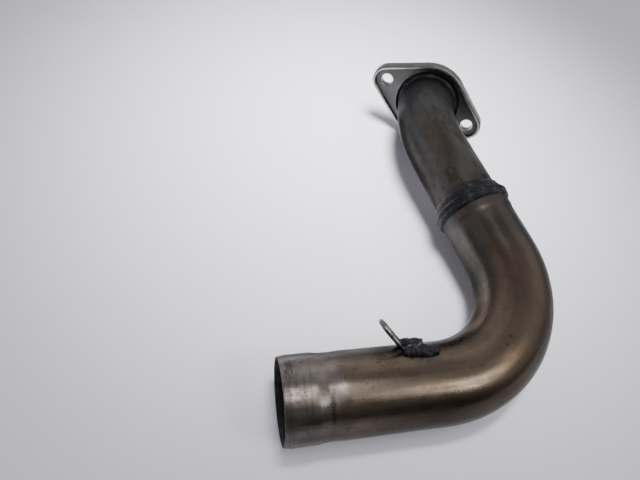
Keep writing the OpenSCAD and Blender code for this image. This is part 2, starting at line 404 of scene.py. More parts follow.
class Desk:
    """Lays out the nodes of a material or a world: each method adds a node and gives back its output."""

    def __init__(self, owner: bpy.types.Material | bpy.types.World) -> None:
        """Start with no nodes.

        Args:
            owner: The material or world.
        """
        self.owner = owner
        owner.use_nodes = True
        self.tree = owner.node_tree
        self.tree.nodes.clear()

    def node(self, kind: str, **settings: object) -> bpy.types.Node:
        """Add a node.

        Args:
            kind: Blender's name for its type.
            settings: Its properties.

        Returns:
            The node.
        """
        made = self.tree.nodes.new(kind)
        for key, value in settings.items():
            setattr(made, key, value)
        return made

    def feed(self, socket: bpy.types.NodeSocket, value: object) -> None:
        """Join an output to a socket, or set the socket's own value.

        Args:
            socket: The socket.
            value: An output, a number, a colour or a triple.
        """
        if isinstance(value, bpy.types.NodeSocket):
            self.tree.links.new(value, socket)
        elif isinstance(value, tuple) and len(value) == 3 and socket.type == "RGBA":
            socket.default_value = (*value, 1)
        else:
            socket.default_value = value

    def straight(self) -> bpy.types.NodeSocket:
        """Give each point's place on the tube unbent."""
        return self.node("ShaderNodeAttribute", attribute_name="straight").outputs["Vector"]

    def place(self) -> bpy.types.NodeSocket:
        """Give each point's place in the part's frame."""
        return self.node("ShaderNodeTexCoord").outputs["Object"]

    def mark(self, name: str) -> bpy.types.NodeSocket:
        """Give a number that the mesh holds at each point."""
        return self.node("ShaderNodeAttribute", attribute_name=name).outputs["Fac"]

    def stretched(
        self, vector: bpy.types.NodeSocket, factors: tuple[float, float, float]
    ) -> bpy.types.NodeSocket:
        """Scale a place by one factor along each axis.

        Args:
            vector: The place.
            factors: The three factors.

        Returns:
            The scaled place.
        """
        made = self.node("ShaderNodeVectorMath", operation="MULTIPLY")
        self.feed(made.inputs[0], vector)
        made.inputs[1].default_value = factors
        return made.outputs[0]

    def parts(self, vector: bpy.types.NodeSocket) -> tuple[bpy.types.NodeSocket, ...]:
        """Split a place into its three numbers.

        Args:
            vector: The place.

        Returns:
            Its x, y and z.
        """
        made = self.node("ShaderNodeSeparateXYZ")
        self.feed(made.inputs[0], vector)
        return tuple(made.outputs)

    def grain(self, vector: bpy.types.NodeSocket, grain: Grain) -> bpy.types.NodeSocket:
        """Add noise.

        Args:
            vector: Place that it is read at.
            grain: The noise.

        Returns:
            A value near 0.5.
        """
        made = self.node("ShaderNodeTexNoise")
        self.feed(made.inputs["Vector"], self.stretched(vector, grain.features))
        made.inputs["Scale"].default_value = 1
        made.inputs["Detail"].default_value = grain.layers
        made.inputs["Roughness"].default_value = grain.carry
        return made.outputs["Fac"]

    def ramp(self, value: bpy.types.NodeSocket, ramp: Ramp) -> bpy.types.NodeSocket:
        """Carry a value through a smooth ramp.

        Args:
            value: The value.
            ramp: The ramp.

        Returns:
            What the ramp gives.
        """
        made = self.node("ShaderNodeMapRange", interpolation_type="SMOOTHSTEP")
        for socket, number in zip(made.inputs, (value, *ramp)):
            self.feed(socket, number)
        return made.outputs["Result"]

    def tints(self, value: bpy.types.NodeSocket, stops: Stops) -> bpy.types.NodeSocket:
        """Add a colour ramp.

        Args:
            value: Value from 0 to 1.
            stops: The places from 0 to 1 and their colours.

        Returns:
            The colour.
        """
        made = self.node("ShaderNodeValToRGB")
        made.color_ramp.interpolation = "EASE"
        while len(made.color_ramp.elements) < len(stops):
            made.color_ramp.elements.new(0.5)
        for element, (place, colour) in zip(made.color_ramp.elements, stops):
            element.position = place
            element.color = (*colour, 1)
        self.feed(made.inputs["Fac"], value)
        return made.outputs["Color"]

    def mixed(self, share: bpy.types.NodeSocket, a: object, b: object) -> bpy.types.NodeSocket:
        """Mix two colours.

        Args:
            share: How much of b shows.
            a: First colour.
            b: Second colour.

        Returns:
            The mixed colour.
        """
        made = self.node("ShaderNodeMix", data_type="RGBA")
        sockets = [s for s in made.inputs if s.enabled]
        for socket, value in zip(sockets, (share, a, b)):
            self.feed(socket, value)
        return next(s for s in made.outputs if s.enabled)

    def sum(self, operation: str, a: bpy.types.NodeSocket, b: object) -> bpy.types.NodeSocket:
        """Join two values.

        Args:
            operation: Blender's name for the sum.
            a: First value.
            b: Second value.

        Returns:
            The result.
        """
        made = self.node("ShaderNodeMath", operation=operation)
        self.feed(made.inputs[0], a)
        self.feed(made.inputs[1], b)
        return made.outputs[0]

    def plus(self, a: bpy.types.NodeSocket, b: object) -> bpy.types.NodeSocket:
        """Add two values."""
        return self.sum("ADD", a, b)

    def times(self, a: bpy.types.NodeSocket, b: object) -> bpy.types.NodeSocket:
        """Multiply two values."""
        return self.sum("MULTIPLY", a, b)

    def bump(
        self, height: bpy.types.NodeSocket, depth: float, under: bpy.types.NodeSocket | None = None
    ) -> bpy.types.NodeSocket:
        """Raise a surface by a height from 0 to 1.

        Args:
            height: The height.
            depth: Size of 1 in metres.
            under: Normal of a bump that lies under this one.

        Returns:
            The bumped normal.
        """
        made = self.node("ShaderNodeBump")
        made.inputs["Distance"].default_value = depth
        self.feed(made.inputs["Height"], height)
        if under is not None:
            self.feed(made.inputs["Normal"], under)
        return made.outputs["Normal"]

    def near(
        self, vector: bpy.types.NodeSocket, spot: Sequence[float], reach: Sequence[float], strength: float
    ) -> bpy.types.NodeSocket:
        """Give a soft spot.

        Args:
            vector: Place that it is read at.
            spot: Its middle.
            reach: How far it reaches along each axis.
            strength: Value at its middle; it falls to 0 at its reach.

        Returns:
            The value.
        """
        made = self.node("ShaderNodeVectorMath", operation="DISTANCE")
        self.feed(made.inputs[0], self.stretched(vector, tuple(1 / r for r in reach)))
        made.inputs[1].default_value = tuple(a / r for a, r in zip(spot, reach))
        return self.ramp(made.outputs["Value"], Ramp(0.0, 1.0, strength, 0.0))

    def surface(self, values: dict[str, object]) -> None:
        """End a material with its shader.

        Args:
            values: Values or outputs for the shader's sockets, by the sockets' names.
        """
        shader = self.node("ShaderNodeBsdfPrincipled")
        for name, value in values.items():
            self.feed(shader.inputs[name], value)
        output = self.node("ShaderNodeOutputMaterial")
        self.tree.links.new(shader.outputs[0], output.inputs["Surface"])

    def glow(self, colour: Colour, strength: bpy.types.NodeSocket) -> None:
        """End a world with its light.

        Args:
            colour: Colour of the light.
            strength: Its strength.
        """
        light = self.node("ShaderNodeBackground")
        self.feed(light.inputs["Color"], colour)
        self.feed(light.inputs["Strength"], strength)
        self.tree.links.new(light.outputs[0], self.node("ShaderNodeOutputWorld").inputs["Surface"])


@dataclass(frozen=True)
class Finish:
    """A finish, which makes one material."""

    name: str

    def make(self) -> bpy.types.Material:
        """Make the material.

        Returns:
            The material.
        """
        desk = Desk(bpy.data.materials.new(self.name))
        desk.surface(self.laid_out(desk))
        return desk.owner

    def laid_out(self, desk: Desk) -> dict[str, object]:
        """Lay out the finish's own nodes, and give what feeds each socket of the shader."""
        raise NotImplementedError


@dataclass(frozen=True)
class StainAndPaintedLight:
    """A soft spot of colour on a tube, used for real marks and for painted shade and highlight: its middle
    and reach on the tube unbent, its colour and its strength.

    A broken spot frays at its edge, and a spot that dims what the tube mirrors at a glancing angle paints
    shade there.
    """

    along: float
    angle: float
    reach: tuple[float, float]
    colour: Colour
    strength: float
    broken: float = 0.0
    shade: float = 0.0

    def spot(self, desk: Desk, place: bpy.types.NodeSocket, radius: float) -> bpy.types.NodeSocket:
        """Give how strongly the spot shows.

        Args:
            desk: Desk of the tube's finish.
            place: Place on the tube unbent.
            radius: The tube's radius.

        Returns:
            The value, up to the spot's strength.
        """
        turn = math.radians(self.angle)
        middle = (self.along, radius * math.cos(turn), radius * math.sin(turn))
        length, width = self.reach
        return desk.near(place, middle, (length, width, width), self.strength)


@dataclass(frozen=True)
class BurntTube(Finish):
    """Brushed stainless tube, coloured by heat along its length, with soot specks, marks, and spots of
    painted shade and painted highlight.
    """

    length: float
    radius: float
    heat: Stops
    rough: float
    soot: float
    mottle: float
    burnt: tuple[tuple[float, float], ...]
    stains_and_painted_light: tuple[StainAndPaintedLight, ...]
    glance: Colour = (0.53, 0.60, 0.61)
    drawn: Colour = (0.11, 0.075, 0.055)
    smoke: Colour = (0.10, 0.08, 0.065)
    blot: Colour = (0.055, 0.044, 0.038)
    bare: Colour = (0.115, 0.118, 0.115)
    specked: Colour = (0.04, 0.031, 0.027)
    banded: Colour = (0.09, 0.075, 0.068)
    brushed: Colour = (0.12, 0.09, 0.07)
    cloud: Grain = even(55, 4)
    streak: Grain = Grain((14, 230, 230), 4, 0.65)
    blotch: Grain = Grain((60, 95, 95), 5, 0.68)
    fray: Grain = Grain((900, 300, 300))
    speck: Grain = Grain((420, 1150, 1150), 4, 0.65)
    patch: Grain = even(90)
    band: Grain = Grain((620, 45, 45))
    brush: Grain = Grain((2600, 70, 70))
    fine: Grain = even(1900, 3, 0.65)
    specks_thin_out: Ramp = Ramp(55 * MM, 100 * MM, 1, 0.22)
    bands_set_in: Ramp = Ramp(26 * MM, 8 * MM)
    brush_depth: float = 0.016 * MM
    fine_depth: float = 0.022 * MM

    def laid_out(self, desk: Desk) -> dict[str, object]:
        """Lay out the nodes.

        Args:
            desk: Desk of the material.

        Returns:
            What feeds each socket of the shader.
        """
        place = desk.straight()
        along = desk.parts(place)[0]
        cloud, streak, blotch, brush = (
            desk.grain(place, grain) for grain in (self.cloud, self.streak, self.blotch, self.brush)
        )
        specks = self.specks(desk, place, along)
        drift = desk.plus(desk.times(along, 1 / self.length), desk.ramp(cloud, Ramp(0.3, 0.7, -0.04, 0.04)))
        colour = desk.tints(drift, self.heat)
        for value, ramp, tint in (
            (streak, Ramp(0.45, 0.75, 0, 0.35), self.drawn),
            (cloud, Ramp(0.5, 0.8, 0, 0.3), self.smoke),
            (blotch, Ramp(0.47, 0.60, 0, self.mottle), self.blot),
            (blotch, Ramp(0.45, 0.36, 0, 0.6 * self.mottle), self.bare),
        ):
            colour = desk.mixed(desk.ramp(value, ramp), colour, tint)
        colour, glance = self.with_stains_and_painted_light(desk, place, colour)
        colour = desk.mixed(specks, colour, self.specked)
        bands = desk.ramp(desk.grain(place, self.band), Ramp(0.5, 0.68, 0, 0.55))
        colour = desk.mixed(desk.times(bands, desk.ramp(along, self.bands_set_in)), colour, self.banded)
        colour = desk.mixed(desk.ramp(brush, Ramp(0.55, 0.8, 0, 0.25)), colour, self.brushed)
        rough = desk.ramp(streak, Ramp(0.3, 0.75, self.rough - 0.04, self.rough + 0.07))
        rough = desk.plus(rough, desk.times(specks, 0.25))
        rough = desk.plus(rough, desk.ramp(blotch, Ramp(0.45, 0.62, 0, 0.35 * self.mottle)))
        for clear, full in self.burnt:
            rough = desk.plus(rough, desk.ramp(along, Ramp(clear, full, 0, 0.22)))
        normal = desk.bump(brush, self.brush_depth)
        normal = desk.bump(desk.grain(place, self.fine), self.fine_depth, normal)
        return {
            "Base Color": colour,
            "Metallic": 1.0,
            "Roughness": rough,
            "Specular Tint": glance,
            "Normal": normal,
        }

    def with_stains_and_painted_light(
        self, desk: Desk, place: bpy.types.NodeSocket, colour: bpy.types.NodeSocket
    ) -> tuple[bpy.types.NodeSocket, object]:
        """Lay the spots on: real marks, and painted shade and highlight.

        Args:
            desk: Desk of the material.
            place: Place on the tube unbent.
            colour: Colour of the tube under the stains.

        Returns:
            The colour, and the tint of what is mirrored at a glancing angle, which painted shade dims.
        """
        fray = desk.grain(place, self.fray)
        glance: object = self.glance
        for stain_and_light in self.stains_and_painted_light:
            spot = stain_and_light.spot(desk, place, self.radius)
            if stain_and_light.broken > 0:
                spot = desk.times(spot, desk.ramp(fray, Ramp(0.42, 0.6, 1 - stain_and_light.broken, 1)))
            colour = desk.mixed(spot, colour, stain_and_light.colour)
            # painted shade: dims what the tube mirrors at a glancing angle
            if stain_and_light.shade > 0:
                glance = desk.mixed(desk.times(spot, stain_and_light.shade), glance, stain_and_light.colour)
        return colour, glance

    def specks(
        self, desk: Desk, place: bpy.types.NodeSocket, along: bpy.types.NodeSocket
    ) -> bpy.types.NodeSocket:
        """Give how strongly the soot specks show: they lie in patches, most of them near the mouth.

        Args:
            desk: Desk of the material.
            place: Place on the tube unbent.
            along: Distance along the tube.

        Returns:
            The value.
        """
        specks = desk.ramp(desk.grain(place, self.speck), Ramp(0.56, 0.66))
        specks = desk.times(specks, desk.ramp(desk.grain(place, self.patch), Ramp(0.42, 0.60, 0, self.soot)))
        return desk.times(specks, desk.ramp(along, self.specks_thin_out))


@dataclass(frozen=True)
class SootedBore(Finish):
    """Inside of a tube, black with soot."""

    tints: Stops = ((0, (0.018, 0.016, 0.016)), (1, (0.046, 0.041, 0.038)))
    cloud: Grain = even(180, 4)
    crust: Grain = even(900)
    crust_depth: float = 0.05 * MM

    def laid_out(self, desk: Desk) -> dict[str, object]:
        """Lay out the nodes.

        Args:
            desk: Desk of the material.

        Returns:
            What feeds each socket of the shader.
        """
        place = desk.straight()
        colour = desk.tints(desk.ramp(desk.grain(place, self.cloud), Ramp(0.3, 0.7)), self.tints)
        normal = desk.bump(desk.grain(place, self.crust), self.crust_depth)
        return {"Base Color": colour, "Roughness": 0.8, "Normal": normal}


@dataclass(frozen=True)
class WeldScale(Finish):
    """Black weld metal under burnt scale."""

    pits: Grain = even(700, 4, 0.65)
    pale: Colour = (0.024, 0.025, 0.029)
    sheen: float = 0.3
    cloud: Grain = even(260, 4)
    pit_depth: float = 0.06 * MM

    def laid_out(self, desk: Desk) -> dict[str, object]:
        """Lay out the nodes.

        Args:
            desk: Desk of the material.

        Returns:
            What feeds each socket of the shader.
        """
        place = desk.place()
        tints = ((0, (0.006, 0.006, 0.008)), (0.6, (0.011, 0.011, 0.013)), (1, self.pale))
        pits = desk.grain(place, self.pits)
        return {
            "Base Color": desk.tints(desk.ramp(desk.grain(place, self.cloud), Ramp(0.3, 0.72)), tints),
            "Metallic": 0.45,
            "Roughness": desk.ramp(pits, Ramp(0.3, 0.7, 0.40, 0.62)),
            "Specular IOR Level": self.sheen,
            "Normal": desk.bump(pits, self.pit_depth),
        }


@dataclass(frozen=True)
class SatinSteel(Finish):
    """Satin grey steel of the flange, bright where its edges are worn and with a painted highlight along the
    crest of its raised edge, and darker with painted shade in its pocket, its holes and down its flare.
    """

    base: Colour = (0.19, 0.186, 0.17)
    warm: Colour = (0.19, 0.17, 0.15)
    # painted shade of the pocket, its holes and the flare
    shade: Colour = (0.088, 0.086, 0.082)
    # bright metal of the worn edges and of the painted highlight along the crest
    bright: Colour = (0.74, 0.72, 0.68)
    soot: Colour = (0.05, 0.045, 0.04)
    rough: float = 0.38
    cloud: Grain = even(90, 4)
    speck: Grain = even(900, 2)
    scratch: Grain = Grain((500, 500, 1600))
    fine: Grain = even(1500)
    fine_depth: float = 0.015 * MM

    def laid_out(self, desk: Desk) -> dict[str, object]:
        """Lay out the nodes.

        Args:
            desk: Desk of the material.

        Returns:
            What feeds each socket of the shader.
        """
        place = desk.place()
        colour = desk.mixed(
            desk.ramp(desk.grain(place, self.cloud), Ramp(0.45, 0.75, 0, 0.4)), self.base, self.warm
        )
        # painted shade in the pocket, its holes and down the flare
        colour = desk.mixed(desk.mark("pocket"), colour, self.shade)
        # worn edges, with the painted highlight along the crest
        colour = desk.mixed(desk.mark("wear_and_highlight"), colour, self.bright)
        specks = desk.ramp(desk.grain(place, self.speck), Ramp(0.62, 0.70, 0, 0.5))
        scratch = desk.grain(place, self.scratch)
        return {
            "Base Color": desk.mixed(specks, colour, self.soot),
            "Metallic": 1.0,
            "Roughness": desk.ramp(scratch, Ramp(0.3, 0.7, self.rough - 0.06, self.rough + 0.08)),
            "Normal": desk.bump(desk.grain(place, self.fine), self.fine_depth),
        }


@dataclass(frozen=True)
class DarkTurned(Finish):
    """Turned steel of the collar, coloured nearly black."""

    tints: Stops = ((0, (0.020, 0.018, 0.018)), (1, (0.060, 0.054, 0.052)))
    cloud: Grain = even(200, 4)
    fine: Grain = even(1400)
    fine_depth: float = 0.02 * MM

    def laid_out(self, desk: Desk) -> dict[str, object]:
        """Lay out the nodes.

        Args:
            desk: Desk of the material.

        Returns:
            What feeds each socket of the shader.
        """
        place = desk.place()
        colour = desk.tints(desk.ramp(desk.grain(place, self.cloud), Ramp(0.3, 0.7)), self.tints)
        normal = desk.bump(desk.grain(place, self.fine), self.fine_depth)
        return {"Base Color": colour, "Metallic": 0.8, "Roughness": 0.5, "Normal": normal}


@dataclass(frozen=True)
class DrawnWire(Finish):
    """Drawn stainless wire, lightly tinted, and burnt dark where it is welded down."""

    length: float
    burnt: float
    tints: Stops = ((0, (0.20, 0.16, 0.15)), (1, (0.46, 0.41, 0.40)))
    scale: Colour = (0.024, 0.021, 0.022)
    fade: float = 2 * MM
    cloud: Grain = even(350)
    fine: Grain = even(2500)
    fine_depth: float = 0.01 * MM

    def laid_out(self, desk: Desk) -> dict[str, object]:
        """Lay out the nodes.

        Args:
            desk: Desk of the material.

        Returns:
            What feeds each socket of the shader.
        """
        place = desk.place()
        along = desk.parts(desk.straight())[0]
        colour = desk.tints(desk.ramp(desk.grain(place, self.cloud), Ramp(0.3, 0.7)), self.tints)
        for end, way in ((0.0, 1), (self.length, -1)):
            dark = end + way * self.burnt
            share = desk.ramp(along, Ramp(dark, dark + way * self.fade, 0.9, 0))
            colour = desk.mixed(share, colour, self.scale)
        normal = desk.bump(desk.grain(place, self.fine), self.fine_depth)
        return {"Base Color": colour, "Metallic": 1.0, "Roughness": 0.33, "Normal": normal}


@dataclass(frozen=True)
class BenchTop(Finish):
    """Plain pale bench."""

    base: Colour = (0.82, 0.797, 0.885)

    def laid_out(self, desk: Desk) -> dict[str, object]:
        """Give what feeds each socket of the shader."""
        return {"Base Color": self.base, "Roughness": 0.7, "Specular IOR Level": 0.25}


@dataclass(frozen=True)
class BackdropPaper(Finish):
    """Plain pale paper of the backdrop, lit a little from inside."""

    base: Colour = (0.80, 0.79, 0.84)
    shine: float = 0.35

    def laid_out(self, desk: Desk) -> dict[str, object]:
        """Give what feeds each socket of the shader."""
        lit = {"Emission Color": self.base, "Emission Strength": self.shine}
        return {"Base Color": self.base, "Roughness": 0.8, **lit}


# Sub-assemblies


@dataclass
class SubAssembly:
    """What each sub-assembly needs: the pipe's sizes and a list of the pieces that it made."""

    pipework: Pipework
    made: list[bpy.types.Object] = field(default_factory=list)

    def build(self) -> None:
        """Build the pieces and dress them."""
        raise NotImplementedError

    def keep(
        self, piece: bpy.types.Object, node: str, body: Body, slot: Slot, *materials: bpy.types.Material
    ) -> None:
        """Put a detailed piece in the place of its node.

        Args:
            piece: The piece.
            node: Node that it stands for.
            body: Body that it rides on.
            slot: Material slot of the record; not used.
            materials: Its materials, in the order of its own slots.
        """
        for material in materials:
            piece.data.materials.append(material)
        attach(piece, body.value)
        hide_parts(node)
        self.made.append(piece)


@dataclass
class MainTube(SubAssembly):
    """Wide tube: the sized outlet end, the outlet leg, the big bend and the belled lip."""

    slip_r: float = 22.95 * MM
    slip_len: float = 16 * MM
    rim_lead: float = 5 * MM
    rim_pinch: float = 0.45 * MM
    neck_r: float = 22.2 * MM
    neck_len: float = 3 * MM
    neck_slope: float = 7 * MM
    rim_round: float = 0.3 * MM
    round_angles: tuple[float, ...] = (30, 60, 90)
    step: float = 1 * MM
    inner_step: float = 4 * MM
    around: int = 168
    lip_clear: float = 24 * MM
    lip_burnt: float = 6 * MM
    heat: Stops = (
        (0.0, (0.295, 0.252, 0.228)),
        (0.09, (0.290, 0.243, 0.210)),
        (0.13, (0.230, 0.178, 0.136)),
        (0.25, (0.198, 0.148, 0.108)),
        (0.45, (0.177, 0.132, 0.096)),
        (0.6, (0.160, 0.118, 0.085)),
        (0.75, (0.137, 0.101, 0.076)),
        (0.86, (0.117, 0.095, 0.081)),
        (0.95, (0.106, 0.092, 0.083)),
        (1.0, (0.062, 0.056, 0.054)),
    )

    def radius(self, s: float) -> float:
        """Give the outside radius, without the pinch of the rim.

        Args:
            s: Distance from the mouth.

        Returns:
            The radius.
        """
        pipe = self.pipework
        neck_at = self.slip_len + self.neck_slope
        leave = neck_at + self.neck_len
        if s < neck_at:
            return eased(self.slip_r, self.neck_r, (s - self.slip_len) / self.neck_slope)
        if s < leave + self.neck_slope:
            return eased(self.neck_r, pipe.main_r, (s - leave) / self.neck_slope)
        belled = pipe.main().length - pipe.lip_len - pipe.lip_slope
        return eased(pipe.main_r, pipe.lip_r, (s - belled) / pipe.lip_slope)

    def outline(self) -> tuple[list[tuple[float, float]], int]:
        """Give the section of the wall.

        Returns:
            Its points of (distance, radius), and how many of them lie outside.
        """
        length = self.pipework.main().length
        count = round((length - 2 * self.rim_round) / self.step)
        spots = [self.rim_round + (length - 2 * self.rim_round) * i / count for i in range(count + 1)]
        outside = [(s, self.radius(s) - self.rim_pinch * (1 - eased(0, 1, s / self.rim_lead))) for s in spots]
        stride = round(self.inner_step / self.step)
        inside = [(s, self.radius(s) - self.pipework.wall) for s in (spots[::stride] + spots[-1:])[::-1]]
        mouth_r, lip_r = outside[0][1], outside[-1][1]
        for angle in map(math.radians, self.round_angles):
            back = self.rim_round * (1 - math.sin(angle))
            inset = self.rim_round * (1 - math.cos(angle))
            outside.append((length - back, lip_r - inset))
            outside.insert(0, (back, mouth_r - inset))
        return outside + inside, len(outside)

    def build(self) -> None:
        """Build the tube and dress it."""
        outline, outer = self.outline()
        route = self.pipework.main()
        rows, straight = turned_rings(route, outline, self.around)
        slots = np.array([0] * outer + [1] * (len(outline) - outer))
        piece = grid_mesh("main_tube_skin", rows, straight, join_rows=True, slots=slots)
        skin = BurntTube(
            "main_tube_heat_tint",
            length=route.length,
            radius=self.pipework.main_r,
            heat=self.heat,
            rough=0.27,
            soot=0.85,
            mottle=0.22,
            burnt=((route.length - self.lip_clear, route.length - self.lip_burnt),),
            stains_and_painted_light=self.stains_and_painted_light(),
        ).make()
        bore = SootedBore("main_tube_soot").make()
        self.keep(piece, "main_tube", Body.PIPE, Slot.MAIN_STEEL, skin, bore)

    def stains_and_painted_light(self) -> tuple[StainAndPaintedLight, ...]:
        """Give the marks on the tube: soot, rust and brown marks, scuffs and scratches, and spots of painted
        shade where it mirrors the shaded bench and over its highlights.

        Returns:
            The spots.
        """
        soot, brown = (0.03, 0.026, 0.024), (0.10, 0.072, 0.055)
        rust, bronze = (0.13, 0.07, 0.05), (0.40, 0.28, 0.16)
        return (
            # a dark stripe along the top of the leg, from the mouth to the hook
            StainAndPaintedLight(38 * MM, 45, (46 * MM, 4.4 * MM), soot, 0.9),
            StainAndPaintedLight(60 * MM, 52, (16 * MM, 3.5 * MM), brown, 0.6),
            StainAndPaintedLight(74 * MM, 50, (17 * MM, 11 * MM), (0.06, 0.05, 0.045), 0.85),
            # painted shade: a dark line across the neck, where its step breaks the highlight
            StainAndPaintedLight(23.5 * MM, 120, (1.6 * MM, 16 * MM), soot, 0.6),
            StainAndPaintedLight(4.5 * MM, 64, (5 * MM, 10 * MM), soot, 0.95, broken=1.0),
            StainAndPaintedLight(6 * MM, 96, (7 * MM, 9 * MM), (0.12, 0.10, 0.095), 0.7, broken=1.0),
            StainAndPaintedLight(9 * MM, 112, (7 * MM, 6 * MM), (0.14, 0.10, 0.10), 0.5, broken=0.7),
            StainAndPaintedLight(30 * MM, 80, (12 * MM, 5 * MM), brown, 0.5, broken=0.9),
            StainAndPaintedLight(97 * MM, 90, (3.5 * MM, 0.8 * MM), soot, 0.85, broken=0.6),
            StainAndPaintedLight(102.5 * MM, 91, (3 * MM, 0.7 * MM), soot, 0.8, broken=0.6),
            StainAndPaintedLight(128.5 * MM, 83, (1.6 * MM, 1.6 * MM), soot, 0.7),
            StainAndPaintedLight(122.5 * MM, 87, (1.8 * MM, 1.4 * MM), soot, 0.7),
            StainAndPaintedLight(84 * MM, 78, (22 * MM, 3.5 * MM), brown, 0.55),
            StainAndPaintedLight(52 * MM, 84, (26 * MM, 3.5 * MM), brown, 0.5),
            StainAndPaintedLight(118 * MM, 100, (20 * MM, 6 * MM), bronze, 0.5),
            StainAndPaintedLight(194 * MM, 57, (22 * MM, 5 * MM), rust, 0.55),
            StainAndPaintedLight(176 * MM, 66, (20 * MM, 6 * MM), rust, 0.3),
            StainAndPaintedLight(168 * MM, 34, (40 * MM, 8 * MM), (0.07, 0.055, 0.045), 0.6),
            StainAndPaintedLight(212 * MM, 84, (20 * MM, 3.5 * MM), (0.09, 0.06, 0.045), 0.6),
            # painted shade on the lower side of the leg and at the mouth, where they mirror the shaded bench
            # under the tube
            StainAndPaintedLight(76 * MM, 146, (55 * MM, 15 * MM), (0.045, 0.034, 0.028), 0.85),
            StainAndPaintedLight(12 * MM, 152, (34 * MM, 14 * MM), (0.075, 0.078, 0.07), 0.75),
            # painted shade on the upper side of the leg, where it mirrors the shaded bench behind it, with
            # its glancing reflection dimmed
            StainAndPaintedLight(20 * MM, 32, (56 * MM, 11 * MM), (0.055, 0.046, 0.04), 0.85, shade=0.3),
            # painted shade on the lower side of the bend
            StainAndPaintedLight(150 * MM, 152, (46 * MM, 13 * MM), (0.07, 0.055, 0.045), 0.6),
            # more painted shade on the upper side of the leg
            StainAndPaintedLight(58 * MM, 36, (20 * MM, 7 * MM), (0.05, 0.04, 0.035), 0.7, shade=0.3),
            # painted shade inside the bend, where it mirrors the shaded bench, with its glancing reflection
            # dimmed
            StainAndPaintedLight(186 * MM, 8, (64 * MM, 18 * MM), (0.038, 0.043, 0.039), 0.85, shade=0.75),
            StainAndPaintedLight(140 * MM, 22, (36 * MM, 11 * MM), (0.05, 0.045, 0.04), 0.75, shade=0.7),
            # darker again on the same stripe beside the hook
            StainAndPaintedLight(56 * MM, 42, (18 * MM, 6 * MM), soot, 0.7),
            # painted shade that dims the highlight along the leg, and in the next two lines the highlight at
            # the neck
            StainAndPaintedLight(58 * MM, 103, (46 * MM, 11 * MM), (0.10, 0.08, 0.066), 0.45),
            StainAndPaintedLight(20.5 * MM, 111, (5.5 * MM, 7.5 * MM), (0.085, 0.072, 0.068), 0.85),
            StainAndPaintedLight(27.5 * MM, 99, (8 * MM, 5.5 * MM), (0.10, 0.085, 0.075), 0.55, broken=0.5),
            # painted shade on the lower side of the leg, with its glancing reflection dimmed
            StainAndPaintedLight(56 * MM, 164, (76 * MM, 12 * MM), (0.06, 0.054, 0.048), 0.5, shade=0.3),
            StainAndPaintedLight(70 * MM, 90, (26 * MM, 5 * MM), (0.09, 0.065, 0.05), 0.5),
            StainAndPaintedLight(100 * MM, 40, (30 * MM, 10 * MM), (0.06, 0.048, 0.04), 0.3),
        )


